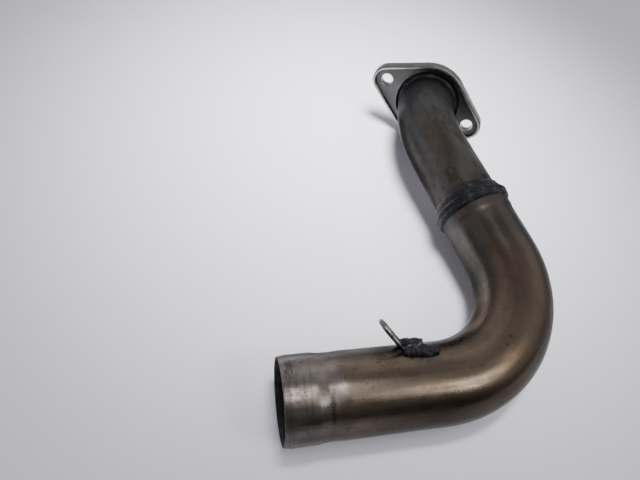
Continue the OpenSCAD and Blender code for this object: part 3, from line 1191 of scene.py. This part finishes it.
@dataclass
class InletTube(SubAssembly):
    """Narrower tube from inside the main tube to the collar."""

    step: float = 1.25 * MM
    around: int = 152
    weld_burnt: tuple[float, float] = (50 * MM, 22 * MM)
    collar_clear: float = 40 * MM
    collar_nearly_black: float = 8 * MM
    heat: Stops = (
        (0.0, (0.051, 0.048, 0.045)),
        (0.16, (0.058, 0.053, 0.050)),
        (0.24, (0.113, 0.100, 0.091)),
        (0.45, (0.123, 0.108, 0.096)),
        (0.6, (0.120, 0.109, 0.100)),
        (0.78, (0.096, 0.091, 0.090)),
        (1.0, (0.046, 0.043, 0.044)),
    )

    def build(self) -> None:
        """Build the tube and dress it."""
        pipe = self.pipework
        route = pipe.inlet()
        count = round(route.length / self.step)
        spots = [route.length * i / count for i in range(count + 1)]
        outside = [(s, pipe.inlet_r) for s in spots]
        inside = [(s, pipe.inlet_r - pipe.wall) for s in reversed(spots)]
        rows, straight = turned_rings(route, outside + inside, self.around)
        slots = np.array([0] * len(outside) + [1] * len(inside))
        piece = grid_mesh("inlet_tube_skin", rows, straight, join_rows=True, slots=slots)
        skin = BurntTube(
            "inlet_tube_heat_tint",
            length=route.length,
            radius=pipe.inlet_r,
            heat=self.heat,
            rough=0.34,
            soot=0.5,
            mottle=0.45,
            burnt=(self.weld_burnt, (route.length - self.collar_clear, route.length - self.collar_nearly_black)),
            stains_and_painted_light=self.stains_and_painted_light(),
        ).make()
        bore = SootedBore("inlet_tube_soot").make()
        self.keep(piece, "inlet_tube", Body.PIPE, Slot.INLET_STEEL, skin, bore)

    def stains_and_painted_light(self) -> tuple[StainAndPaintedLight, ...]:
        """Give the tube's spots: marks, two of painted shade on its shaded side, a painted highlight streak,
        and last the two of its ring mark.

        Returns:
            The spots.
        """
        dark, blue, soot = (0.055, 0.048, 0.044), (0.108, 0.108, 0.116), (0.03, 0.03, 0.031)
        return (
            StainAndPaintedLight(34 * MM, 213, (9 * MM, 4 * MM), dark, 0.55, broken=0.5),
            StainAndPaintedLight(58 * MM, 230, (22 * MM, 8 * MM), dark, 0.45),
            StainAndPaintedLight(70 * MM, 175, (26 * MM, 7 * MM), dark, 0.6),
            StainAndPaintedLight(92 * MM, 215, (18 * MM, 9 * MM), blue, 0.5),
            StainAndPaintedLight(88 * MM, 265, (22 * MM, 6 * MM), blue, 0.4),
            # painted shade on the tube's shaded side, with its glancing reflection dimmed away
            StainAndPaintedLight(56 * MM, 157, (62 * MM, 15 * MM), soot, 0.85, shade=1.0),
            StainAndPaintedLight(82 * MM, 168, (34 * MM, 12 * MM), soot, 0.6, shade=1.0),
            # a pale patch on the tube
            StainAndPaintedLight(48 * MM, 277, (26 * MM, 8 * MM), (0.26, 0.25, 0.255), 0.6),
            StainAndPaintedLight(66 * MM, 212, (24 * MM, 8 * MM), (0.17, 0.122, 0.096), 0.5),
            # painted highlight: a light streak along the tube
            StainAndPaintedLight(60 * MM, 190, (44 * MM, 4.5 * MM), (0.21, 0.205, 0.20), 0.5),
            StainAndPaintedLight(44 * MM, 238, (26 * MM, 5 * MM), (0.17, 0.14, 0.115), 0.45),
            StainAndPaintedLight(38.6 * MM, 210, (5.4 * MM, 4.6 * MM), (0.03, 0.027, 0.025), 0.7),
            StainAndPaintedLight(38.6 * MM, 210, (3.8 * MM, 3.0 * MM), (0.12, 0.105, 0.095), 0.9),
        )


@dataclass(frozen=True)
class WeldPass:
    """One run of weld: where it lies along the tube, how wide and high it is, and how it ripples."""

    place: float
    half_width: float
    height: float
    ripples: int
    seed: int


@dataclass
class StepWeld(SubAssembly):
    """Thick weld over the step between the two tubes, laid in three passes."""

    main_w: float = 6 * MM
    inlet_w: float = 7.5 * MM
    toe: float = 0.5 * MM
    gap: float = 0.04 * MM
    passes: tuple[WeldPass, ...] = (
        WeldPass(3.4 * MM, 4.2 * MM, 2.2 * MM, 40, 3),
        WeldPass(-0.9 * MM, 2.4 * MM, 2.0 * MM, 54, 11),
        WeldPass(-3.6 * MM, 2.4 * MM, 1.6 * MM, 48, 23),
    )
    wander: float = 0.45 * MM
    wander_span: float = 1.1
    swell_share: float = 0.13
    swell_span: float = 0.6
    width_share: float = 0.15
    ripple_share: float = 0.06
    ripple_curl: float = 0.7
    ripple_drift: float = 0.35
    ripple_span: float = 0.3
    fine: Lumps = Lumps(0.07 * MM, 1.3 * MM, 5)
    coarse: Lumps = Lumps(0.10 * MM, 3.2 * MM, 6)
    around: int = 760
    across: int = 60

    def height(self, x: np.ndarray, angle: np.ndarray, foot: np.ndarray) -> np.ndarray:
        """Give the height of the weld over the tubes.

        Args:
            x: Distance along the tube from the lip's end, for each point.
            angle: Angle round the tube in radians.
            foot: The place on the tube that each point stands on.

        Returns:
            The height of each point.
        """
        ways = np.stack([np.cos(angle), np.sin(angle), np.zeros_like(angle)], axis=-1)
        best = np.zeros_like(x)
        for run in self.passes:
            wander = self.wander * Unevenness(self.wander_span, run.seed).at(ways)
            swell = 1 + self.swell_share * Unevenness(self.swell_span, run.seed + 1).at(ways)
            half = run.half_width * (1 - self.width_share + self.width_share * swell)
            off = (x - run.place - wander) / half
            drift = self.ripple_drift * Unevenness(self.ripple_span, run.seed + 2).at(ways)
            phase = run.ripples * angle / math.tau + self.ripple_curl * off * off + drift
            ripple = 1 - self.ripple_share * (1 - np.abs(np.sin(math.pi * phase)))
            dome = np.sqrt(np.clip(1 - off * off, 0, None))
            best = np.maximum(best, run.height * swell * ripple * dome)
        return best + np.where(best > 0, lumpy(foot, (self.fine, self.coarse)), 0)

    def under(self, x: float) -> float:
        """Give the radius that the weld stands on, at the distance x from the lip's end."""
        pipe = self.pipework
        return pipe.lip_r if x < 0 else eased(pipe.lip_r, pipe.inlet_r, x / (pipe.lip_r - pipe.inlet_r))

    def build(self) -> None:
        """Build the weld and dress it."""
        pipe = self.pipework
        angles = np.linspace(0, math.tau, self.around, endpoint=False)
        start, stop = -self.main_w - self.toe, self.inlet_w + self.toe
        spots = np.linspace(start, stop, self.across + 1)
        x, angle = np.meshgrid(spots, angles, indexing="ij")
        r = np.repeat([[self.under(spot)] for spot in spots], self.around, axis=1)
        r = r + self.gap + self.height(x, angle, round_points(angle, x, r))
        rows = [round_points(angle, x, r)]
        inner = self.gap / 2
        corners = ((stop, pipe.inlet_r), (inner, pipe.inlet_r), (inner, pipe.lip_r), (start, pipe.lip_r))
        for at, radius in corners:
            rows.append(round_points(angles, at, radius + inner)[None])
        piece = grid_mesh("step_weld_passes", laid(np.concatenate(rows), pipe.main().end), join_rows=True)
        self.keep(piece, "step_weld", Body.PIPE, Slot.WELD_SCALE, WeldScale("step_weld_scale").make())


@dataclass
class Hook(SubAssembly):
    """Wire loop for the retaining spring, and the runs of weld that hold its legs."""

    wire_r: float = 1.4 * MM
    span: float = 9.8 * MM
    leg: float = 11 * MM
    rise: float = 10.5 * MM
    stand: float = 52
    bend_r: float = 3.5 * MM
    place: float = 66.5 * MM
    clock: float = 41
    skew: float = 7
    step: float = 0.25 * MM
    bend_steps: int = 16
    loop_steps: int = 40
    around: int = 40
    chamfer: float = 0.15 * MM
    burnt_past_bend: float = 0.8 * MM
    voxel: float = 0.22 * MM
    coarse: Lumps = Lumps(0.28 * MM, 2.6 * MM, 7)
    fine: Lumps = Lumps(0.10 * MM, 1.0 * MM, 8)

    def frame(self) -> Matrix:
        """Give the hook's frame: +X along the legs, +Y out of the tube, +Z from leg to leg.

        Returns:
            The 4x4 frame.
        """
        return (
            turned(self.pipework.lean, Axis.X)
            @ moved(x=self.place)
            @ turned(self.clock, Axis.X)
            @ turned(-self.skew, Axis.Y)
        )

    @property
    def leg_height(self) -> float:
        """Height of the legs over the tube's centre line.

        Returns:
            The height.
        """
        skew = math.radians(self.skew)
        off_crown = max(0, self.span / 2 * math.cos(skew) - self.leg * math.sin(skew))
        return math.sqrt((self.pipework.main_r + self.wire_r) ** 2 - off_crown**2)

    @property
    def up(self) -> Vector:
        """The way that the loop stands."""
        stand = math.radians(self.stand)
        return Vector((-math.cos(stand), math.sin(stand), 0))

    def half(self, side: int) -> list[Vector]:
        """Give the centre line of one half, from the leg's end to the loop.

        Args:
            side: 1 or -1, for the half that lies towards +Z or -Z.

        Returns:
            Its points.
        """
        z = side * self.span / 2
        legs, rises = round(self.leg / self.step), round(self.rise / self.step)
        points = [Vector((self.leg * (1 - i / legs), self.leg_height, z)) for i in range(legs)]
        turns = [math.radians(self.stand) * i / self.bend_steps for i in range(self.bend_steps + 1)]
        bend = [
            Vector((-self.bend_r * math.sin(a), self.leg_height + self.bend_r * (1 - math.cos(a)), z))
            for a in turns
        ]
        return points + bend[:-1] + [bend[-1] + self.up * self.rise * i / rises for i in range(rises)]

    def line(self) -> list[Vector]:
        """Give the wire's whole centre line.

        Returns:
            Its points.
        """
        one, other = self.half(1), self.half(-1)
        top = Vector((one[-1].x, one[-1].y, 0)) + self.up * (self.rise / round(self.rise / self.step))
        loop = [
            top + (self.up * math.sin(t) + Vector((0, 0, math.cos(t)))) * self.span / 2
            for t in (math.pi * i / self.loop_steps for i in range(self.loop_steps + 1))
        ]
        return one + loop + other[::-1]

    def wire(self, line: Sequence[Vector]) -> bpy.types.Object:
        """Build the wire, with its ends cut square and lightly chamfered.

        Args:
            line: Its centre line.

        Returns:
            The new object.
        """
        ways = [(b - a).normalized() for a, b in zip(line, line[1:])]
        ways = [ways[0]] + [(a + b).normalized() for a, b in zip(ways, ways[1:])] + [ways[-1]]
        inner = self.wire_r - self.chamfer
        rings = [[(self.wire_r, 0.0)] for _ in line]
        rings[0] = [(0.0, 0.0), (inner, 0.0), (self.wire_r, self.chamfer)]
        rings[-1] = [(self.wire_r, -self.chamfer), (inner, 0.0), (0.0, 0.0)]
        angles = np.linspace(0, math.tau, self.around, endpoint=False)
        side = Vector((0, 1, 0))
        gone = 0.0
        rows, unbent = [], []
        for i, (at, way) in enumerate(zip(line, ways)):
            gone += (at - line[max(i - 1, 0)]).length
            side = (side - way * side.dot(way)).normalized()
            other = way.cross(side)
            for r, push in rings[i]:
                ring = [side * math.cos(t) + other * math.sin(t) for t in angles]
                rows.append([tuple(at + way * push + spoke * r) for spoke in ring])
                unbent.append(round_points(angles, gone, r))
        return grid_mesh("spring_hook_wire", laid(np.array(rows), self.frame()), np.array(unbent))

    def lumps(self, node: str) -> bpy.types.Object:
        """Build a run of weld from its node's own form, made lumpy.

        Args:
            node: Name of the node.

        Returns:
            The new object.
        """
        piece = linked(f"{node}_run", frame["nodes"][node].data.copy())
        piece.data.materials.clear()
        remesh = piece.modifiers.new("voxels", "REMESH")
        remesh.mode = "VOXEL"
        remesh.voxel_size = self.voxel
        graph = bpy.context.evaluated_depsgraph_get()
        mesh = bpy.data.meshes.new_from_object(piece.evaluated_get(graph), depsgraph=graph)
        piece.modifiers.clear()
        piece.data = mesh
        mesh.shade_smooth()
        places = np.empty(3 * len(mesh.vertices), dtype=np.float32)
        ways = np.empty_like(places)
        mesh.vertices.foreach_get("co", places)
        mesh.vertex_normals.foreach_get("vector", ways)
        places = places.reshape(-1, 3)
        lumps = lumpy(places, (self.coarse, self.fine))
        places += (ways.reshape(-1, 3) * lumps[:, None]).astype(np.float32)
        mesh.vertices.foreach_set("co", places.ravel())
        mesh.update()
        return piece

    def build(self) -> None:
        """Build the wire and its welds and dress them."""
        line = self.line()
        length = sum((b - a).length for a, b in zip(line, line[1:]))
        drawn = DrawnWire("hook_drawn_wire", length, self.leg + self.bend_r + self.burnt_past_bend)
        self.keep(self.wire(line), "spring_hook", Body.PIPE, Slot.HOOK_WIRE, drawn.make())
        scale = WeldScale("hook_weld_scale", even(1100, 4, 0.65), (0.045, 0.045, 0.052), 0.6).make()
        for node in ("hook_weld_upper", "hook_weld_lower"):
            self.keep(self.lumps(node), node, Body.PIPE, Slot.WELD_SCALE, scale)


@dataclass
class Collar(SubAssembly):
    """Turned collar on the inlet end and the weld behind it, which keep their own forms."""

    def build(self) -> None:
        """Dress the two nodes."""
        finishes = {"seal_collar": DarkTurned("collar_nearly_black"), "collar_weld": WeldScale("collar_weld_scale")}
        for node, finish in finishes.items():
            material = finish.make()
            for slot in frame["nodes"][node].material_slots:
                slot.material = material
            LOG.info("%s dressed", node)


class Skin:
    """Gathers one piece from rings of points, the strips between them and flat fills."""

    SHARP = 30
    UNEVEN_SPAN = 7 * MM
    UNEVEN_SEED = 31
    UNEVEN_SHARE = 0.3

    def __init__(self) -> None:
        """Start with nothing."""
        self.points: list[np.ndarray] = []
        self.wear_and_highlight: list[float] = []
        self.pocket: list[float] = []
        self.faces: list[tuple[int, ...]] = []

    def ring(self, flat: np.ndarray, z: float, wear_and_highlight: float = 0.0, pocket: float = 0.0) -> np.ndarray:
        """Add a closed ring.

        Args:
            flat: Its points as rows of x and y.
            z: Its height.
            wear_and_highlight: How bright it is, as worn metal and as painted highlight.
            pocket: How much painted shade it takes.

        Returns:
            The numbers of its points.
        """
        first = len(self.points)
        self.points.extend(np.column_stack([flat, np.full(len(flat), z)]))
        self.wear_and_highlight.extend([wear_and_highlight] * len(flat))
        self.pocket.extend([pocket] * len(flat))
        return np.arange(first, first + len(flat))

    def strip(self, rings: Sequence[np.ndarray]) -> None:
        """Join rings of as many points, each to the next."""
        for a, b in zip(rings, rings[1:]):
            self.faces.extend(zip(a, np.roll(a, -1), np.roll(b, -1), b))

    def flat(self, numbers: np.ndarray) -> np.ndarray:
        """Give the x and y of some points."""
        return np.array([self.points[i][:2] for i in numbers])

    def fill(self, edge: np.ndarray, ways: np.ndarray, holes: Sequence[np.ndarray]) -> None:
        """Fill the flat between a bulging edge and round holes.

        Args:
            edge: Ring of the edge.
            ways: The way that each point of the edge looks.
            holes: Rings of the holes.
        """
        rings = [edge, *holes]
        numbers = np.concatenate(rings)
        flat = self.flat(numbers)
        sides, first = [], 0
        for ring in rings:
            sides += [(first + i, first + (i + 1) % len(ring)) for i in range(len(ring))]
            first += len(ring)
        # worked in millimetres, because the triangulation needs numbers near 1
        found = geometry.delaunay_2d_cdt([Vector(p / MM) for p in flat], sides, [], 0, 1e-6)
        rounds = []
        for hole in map(self.flat, holes):
            centre = hole.mean(axis=0)
            rounds.append((centre, np.linalg.norm(hole - centre, axis=1).mean()))
        for triangle in found[2]:
            corners = [found[3][v][0] for v in triangle]
            middle = flat[corners].mean(axis=0)
            inside = ((middle - flat[: len(edge)]) * ways).sum(axis=1).max() < 0
            if inside and all(np.linalg.norm(middle - centre) > radius for centre, radius in rounds):
                self.faces.append(tuple(numbers[corners]))

    def piece(self, name: str, at: Matrix) -> bpy.types.Object:
        """Make the object.

        Args:
            name: Its name.
            at: Frame that its points are in.

        Returns:
            The new object, at the origin.
        """
        points = np.array(self.points)
        mesh = bpy.data.meshes.new(name)
        mesh.from_pydata(laid(points, at).tolist(), [], [tuple(int(i) for i in face) for face in self.faces])
        work = bmesh.new()
        work.from_mesh(mesh)
        bmesh.ops.recalc_face_normals(work, faces=work.faces)
        work.to_mesh(mesh)
        work.free()
        mesh.shade_smooth()
        mesh.set_sharp_from_angle(angle=math.radians(self.SHARP))
        uneven = Unevenness(self.UNEVEN_SPAN, self.UNEVEN_SEED).at(points)
        # worn edges and the painted highlight, made uneven
        rubbed_and_highlit = np.array(self.wear_and_highlight) * (1 - self.UNEVEN_SHARE + self.UNEVEN_SHARE * uneven)
        for mark, values in (("wear_and_highlight", rubbed_and_highlit), ("pocket", np.array(self.pocket))):
            made = mesh.attributes.new(mark, "FLOAT", "POINT")
            made.data.foreach_set("value", values.astype(np.float32))
        return linked(name, mesh)


class Hole(NamedTuple):
    """A round hole of the flange: its centre on the X axis, its radius and whether a recess opens it out."""

    centre: float
    radius: float
    recessed: bool


@dataclass
class StudFlange(SubAssembly):
    """Loose flange with two stud holes, a pocket and a raised edge."""

    hub_r: float = 29.5 * MM
    ear_r: float = 11 * MM
    stud_half: float = 36 * MM
    stud_r: float = 4.65 * MM
    hole_r: float = 24 * MM
    recess_r: float = 26.4 * MM
    recess_depth: float = 2.6 * MM
    floor_t: float = 7 * MM
    depth: float = 9 * MM
    edge_w: float = 2.4 * MM
    edge_round: float = 0.8 * MM
    rim_round: float = 1 * MM
    floor_round: float = 0.35 * MM
    hole_chamfer: float = 0.4 * MM
    proud: float = 1 * MM
    stud_clock: float = -9
    foot_wear: float = 0.15
    rim_wear: float = 0.10
    rim_rub: float = 0.25
    # painted highlight along the crest of the raised edge
    crest_highlight: float = 0.95
    crest_share: float = 0.2
    flare_wear: float = 0.2
    # painted shade down the flare under the raised edge
    flare_shade: float = 0.7
    hole_wear: float = 0.1
    bore_wear: float = 0.25
    # painted shade in the stud holes, where they open at the back
    foot_shade: float = 0.4
    arc_points: int = 44
    side_points: int = 14
    hole_points: int = 96
    round_steps: int = 6

    def frame(self) -> Matrix:
        """Give the flange's frame: +X towards a stud hole and +Z towards the tube's side.

        Returns:
            The 4x4 frame.
        """
        return (
            self.pipework.gasket_face()
            @ moved(x=-self.proud)
            @ turned(self.stud_clock, Axis.X)
            @ turned(-90, Axis.Y)
            @ turned(90, Axis.Z)
        )

    def edge(self) -> tuple[np.ndarray, np.ndarray]:
        """Give the flange's outline: four arcs, and the straight sides between them.

        Returns:
            Its points and the way that each of them looks.
        """
        lean = math.acos((self.hub_r - self.ear_r) / self.stud_half)
        arcs = (
            (self.stud_half, self.ear_r, -lean, lean),
            (0.0, self.hub_r, lean, math.pi - lean),
            (-self.stud_half, self.ear_r, math.pi - lean, math.pi + lean),
            (0.0, self.hub_r, math.pi + lean, math.tau - lean),
        )
        points, ways = [], []
        for centre, radius, start, stop in arcs:
            for angle in np.linspace(start, stop, self.arc_points + 1):
                way = np.array([math.cos(angle), math.sin(angle)])
                points.append(way * radius + (centre, 0))
                ways.append(way)
        spots, looks = [], []
        for i, (point, way) in enumerate(zip(points, ways)):
            spots.append(point)
            looks.append(way)
            if (i + 1) % (self.arc_points + 1) == 0:
                onward = points[(i + 1) % len(points)]
                for j in range(1, self.side_points):
                    spots.append(point + (onward - point) * j / self.side_points)
                    looks.append(way)
        return np.array(spots), np.array(looks)

    def circle(self, centre: float, radius: float) -> np.ndarray:
        """Give the points of a circle about a place on the X axis."""
        angles = np.linspace(0, math.tau, self.hole_points, endpoint=False)
        return np.column_stack([centre + radius * np.cos(angles), radius * np.sin(angles)])

    def quarter(self, radius: float) -> list[tuple[float, float]]:
        """Give a quarter round, as how far each point lies from the corner's two sides."""
        angles = [math.pi / 2 * i / self.round_steps for i in range(self.round_steps + 1)]
        return [(radius * (1 - math.cos(a)), radius * (1 - math.sin(a))) for a in angles]

    def inset(self, skin: Skin, d: float, z: float, wear_and_highlight: float = 0.0, pocket: float = 0.0) -> np.ndarray:
        """Add a ring that follows the outline inside it.

        Args:
            skin: Skin that the ring is added to.
            d: How far inside the outline it lies.
            z: Its height.
            wear_and_highlight: How bright it is, as worn metal and as painted highlight.
            pocket: How much painted shade it takes.

        Returns:
            The numbers of its points.
        """
        spots, ways = self.edge()
        return skin.ring(spots - ways * d, z, wear_and_highlight, pocket)

    def rim(self, skin: Skin) -> list[np.ndarray]:
        """Add the side of the flange, its raised edge and the flare down to its floor.

        Args:
            skin: Skin that the rings are added to.

        Returns:
            The rings, from the foot to the floor.
        """
        rings = [self.inset(skin, d, z, self.foot_wear) for d, z in self.quarter(self.edge_round)[::-1]]
        for d, z in self.quarter(self.rim_round):
            wear_and_highlight = self.rim_wear + self.rim_rub * d / self.rim_round
            rings.append(self.inset(skin, d, self.depth - z, wear_and_highlight))
        for d, z in self.quarter(self.rim_round)[::-1]:
            # painted highlight along the crest, and painted shade deepening down the flare
            wear_and_highlight = self.crest_highlight if z < self.crest_share * self.rim_round else self.flare_wear
            shade = self.flare_shade * z / self.rim_round
            rings.append(self.inset(skin, self.edge_w - d, self.depth - z, wear_and_highlight, shade))
        # painted shade on the floor of the pocket
        for d, z in self.quarter(self.floor_round):
            rings.append(self.inset(skin, self.edge_w + d, self.floor_t + z, pocket=1))
        return rings

    def hole(self, skin: Skin, hole: Hole) -> list[np.ndarray]:
        """Add a hole.

        Args:
            skin: Skin that the rings are added to.
            hole: The hole.

        Returns:
            The rings, from the floor to the foot.
        """
        bore = self.circle(hole.centre, hole.radius)
        mouth = self.circle(hole.centre, hole.radius + self.hole_chamfer)
        # painted shade on the holes' walls
        rings = [
            skin.ring(mouth, self.floor_t, self.hole_wear, 1),
            skin.ring(bore, self.floor_t - self.hole_chamfer, self.bore_wear, 1),
        ]
        if hole.recessed:
            recess = self.circle(hole.centre, self.recess_r)
            for flat, z in ((bore, self.recess_depth), (recess, self.recess_depth), (recess, 0.0)):
                rings.append(skin.ring(flat, z, pocket=1))
        else:
            rings.append(skin.ring(bore, 0.0, pocket=self.foot_shade))
        return rings

    def build(self) -> None:
        """Build the flange and dress it."""
        skin = Skin()
        rim = self.rim(skin)
        skin.strip(rim)
        holes = []
        for hole in (
            Hole(0.0, self.hole_r, True),
            Hole(self.stud_half, self.stud_r, False),
            Hole(-self.stud_half, self.stud_r, False),
        ):
            holes.append(self.hole(skin, hole))
            skin.strip(holes[-1])
        ways = self.edge()[1]
        skin.fill(rim[-1], ways, [rings[0] for rings in holes])
        skin.fill(rim[0], ways, [rings[-1] for rings in holes])
        piece = skin.piece("stud_flange_skin", self.frame())
        self.keep(piece, "stud_flange", Body.FLANGE, Slot.FLANGE_STEEL, SatinSteel("flange_satin").make())


# Bench, light and camera


@dataclass(frozen=True)
class Lamp:
    """A flat lamp over the bench: its place, its two sides and how bright its face is."""

    name: str
    at: tuple[float, float, float]
    sides: tuple[float, float]
    bright: float

    def hang(self, aim: Sequence[float]) -> None:
        """Hang the lamp.

        Args:
            aim: Place that it looks at.
        """
        data = bpy.data.lights.new(self.name, "AREA")
        data.shape = "RECTANGLE"
        data.size, data.size_y = self.sides
        data.energy = self.bright * math.pi * self.sides[0] * self.sides[1]
        lamp = bpy.data.objects.new(self.name, data)
        way = Vector(aim) - Vector(self.at)
        lamp.matrix_world = Matrix.Translation(self.at) @ way.to_track_quat("-Z", "Y").to_matrix().to_4x4()
        bpy.context.scene.collection.objects.link(lamp)


@dataclass(frozen=True)
class FillLamp:
    """A soft lamp over the middle of the bench, which the metal doesn't mirror."""

    name: str = "bench_fill"
    at: tuple[float, float, float] = (0.09, 0.23, 0.75)
    power: float = 96.0
    soft: float = 0.16
    cone: float = 36

    def hang(self) -> None:
        """Hang the lamp, looking straight down."""
        data = bpy.data.lights.new(self.name, "SPOT")
        data.energy = self.power
        data.shadow_soft_size = self.soft
        data.spot_size = math.radians(self.cone)
        data.spot_blend = 1.0
        lamp = bpy.data.objects.new(self.name, data)
        lamp.location = self.at
        lamp.visible_glossy = False
        bpy.context.scene.collection.objects.link(lamp)


@dataclass(frozen=True)
class Room:
    """The light that comes from the room: pale walls, dim behind the camera and at the bench's height."""

    tint: Colour = (0.97, 1.0, 1.05)
    front_to_back: Ramp = Ramp(-0.95, 0.4, 0.07, 0.72)
    side_to_side: Ramp = Ramp(-1.0, 0.6, 0.7, 1.0)
    tiers: tuple[tuple[float, float], ...] = (
        (0.0, 0.4),
        (0.05, 0.4),
        (0.22, 0.85),
        (0.42, 1.1),
        (0.72, 1.1),
        (0.84, 0.5),
        (1.0, 0.5),
    )

    def light(self) -> None:
        """Set the world's light."""
        world = bpy.data.worlds.new("room")
        bpy.context.scene.world = world
        desk = Desk(world)
        x, y, z = desk.parts(desk.node("ShaderNodeTexCoord").outputs["Generated"])
        wall = desk.times(desk.ramp(y, self.front_to_back), desk.ramp(x, self.side_to_side))
        tier = desk.tints(z, tuple((place, (value, value, value)) for place, value in self.tiers))
        desk.glow(self.tint, desk.times(wall, tier))


@dataclass(frozen=True)
class Studio:
    """Pale bench, soft light and the camera."""

    bench_span: float = 6.0
    backdrop_r: float = 2.9
    backdrop_h: float = 3.0
    backdrop_sides: int = 96
    camera_at: tuple[float, float, float] = (-26.043 * MM, -77.111 * MM, 258.348 * MM)
    heading: float = 19.719
    dip: float = 54.341
    roll: float = 13.147
    picture_w: int = 640
    focal_px: float = 507.13
    sensor: float = 36
    clip: float = 5 * MM
    middle: tuple[float, float, float] = (0.08, 0.06, 0.0)
    lamps: tuple[Lamp, ...] = (
        Lamp("overhead", (0.07, -0.11, 1.25), (0.30, 0.46), 8.5),
        Lamp("window_side", (0.86, -0.64, 1.2), (0.44, 0.42), 11.0),
    )

    def camera(self) -> None:
        """Set the camera to the photograph's view."""
        data = bpy.data.cameras.new("camera")
        data.sensor_fit = "HORIZONTAL"
        data.sensor_width = self.sensor
        data.lens = self.focal_px / self.picture_w * self.sensor
        data.clip_start = self.clip
        camera = bpy.data.objects.new("camera", data)
        aim = turned(-self.heading, Axis.Z) @ turned(90 - self.dip, Axis.X) @ turned(self.roll, Axis.Z)
        camera.matrix_world = Matrix.Translation(self.camera_at) @ aim
        bpy.context.scene.collection.objects.link(camera)
        bpy.context.scene.camera = camera

    def bench(self) -> None:
        """Lay the bench under the part."""
        half = self.bench_span / 2
        low = CAD_BOX[0][2]
        mesh = bpy.data.meshes.new("bench")
        corners = [(-half, -half, low), (half, -half, low), (half, half, low), (-half, half, low)]
        mesh.from_pydata(corners, [], [(0, 1, 2, 3)])
        mesh.materials.append(BenchTop("bench_top").make())
        linked("bench", mesh)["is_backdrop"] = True

    def backdrop(self) -> None:
        """Stand a pale round backdrop behind the bench, which sheds no light and isn't mirrored."""
        low = CAD_BOX[0][2]
        angles = np.linspace(0, math.tau, self.backdrop_sides, endpoint=False)
        ring = np.column_stack([np.cos(angles), np.sin(angles)]) * self.backdrop_r
        heights = (low, low + self.backdrop_h)
        rows = np.stack([np.column_stack([ring, np.full(len(ring), z)]) for z in heights])
        wall = grid_mesh("backdrop", rows)
        wall.data.materials.append(BackdropPaper("backdrop_paper").make())
        for ray in ("visible_diffuse", "visible_glossy", "visible_transmission", "visible_shadow"):
            setattr(wall, ray, False)
        wall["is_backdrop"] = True

    def build(self) -> None:
        """Set the camera, the bench and the light."""
        FillLamp().hang()
        self.camera()
        self.bench()
        self.backdrop()
        Room().light()
        for lamp in self.lamps:
            lamp.hang(self.middle)


def main() -> None:
    """Build the pieces in order, and report each of them."""
    logging.basicConfig(level=logging.INFO, format="%(name)s: %(message)s")
    Studio().build()
    pipework = Pipework()
    for part in (MainTube, InletTube, StepWeld, Collar, StudFlange, Hook):
        built = part(pipework)
        built.build()
        for piece in built.made:
            LOG.info("%s: %d faces", piece.name, len(piece.data.polygons))


if __name__ == "__main__":
    main()
